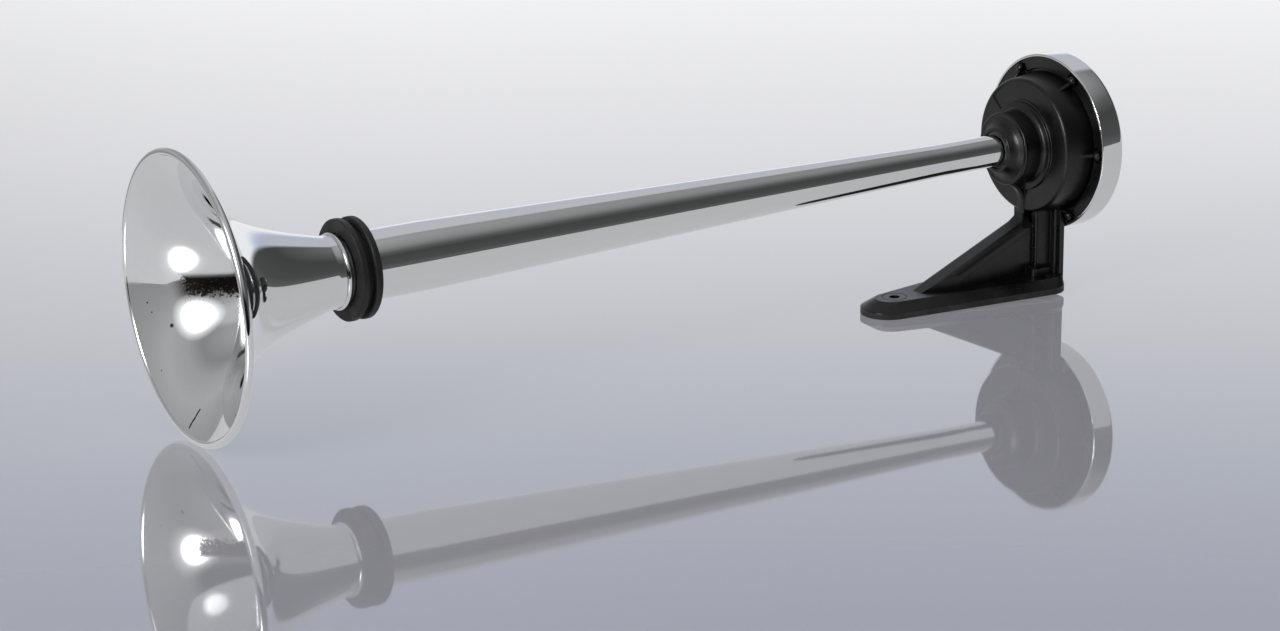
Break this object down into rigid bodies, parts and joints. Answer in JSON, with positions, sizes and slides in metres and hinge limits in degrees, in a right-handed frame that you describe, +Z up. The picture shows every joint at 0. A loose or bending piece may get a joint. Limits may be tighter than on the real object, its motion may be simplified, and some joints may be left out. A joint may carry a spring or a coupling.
{
  "type": "car air horn",
  "caption": "Air horn with a long flared chrome trumpet, a rubber support grommet and a moulded black head on a screw-down foot with an air inlet below.",
  "frame": {"origin": "middle of the air inlet's mouth, on the underside of the foot", "axes": "-X along the trumpet towards the bell's mouth, +Z up from the mounting face, +Y to the horn's right seen from behind its head"},
  "size_m": [0.6031, 0.16, 0.17],
  "materials": {
    "body_plastic": "fine-grained black moulding with satin edges",
    "cover_chrome": "bright chrome plate",
    "tube_chrome": "bright chrome plate",
    "bell_chrome": "bright chrome plate with a few specks and fine scratches",
    "grommet_rubber": "dark rubber, paler on its worn edges",
    "seal_rubber": "grey-black rubber",
    "ring_rubber": "smooth black rubber",
    "brass": "turned brass",
    "spring_steel": "rolled spring steel",
    "plated_steel": "zinc-plated steel",
    "plate_plastic": "black moulding",
    "pad_rubber": "dense black rubber"
  },
  "bodies": {
    "root": {"horn_body": "body_plastic", "chrome_cover": "cover_chrome", "trumpet_tube": "tube_chrome", "bell": "bell_chrome", "support_grommet": "grommet_rubber", "tube_seal": "seal_rubber", "tube_o_ring": "ring_rubber", "nozzle_seat": "brass", "nozzle_o_ring": "ring_rubber", "front_gasket": "ring_rubber", "diaphragm": "spring_steel", "rear_gasket": "ring_rubber", "clamp_ring": "plated_steel", "back_plate": "plate_plastic", "back_plate_screws": "plated_steel", "inlet_insert": "brass", "base_pad": "pad_rubber"}
  },
  "joints": []
}
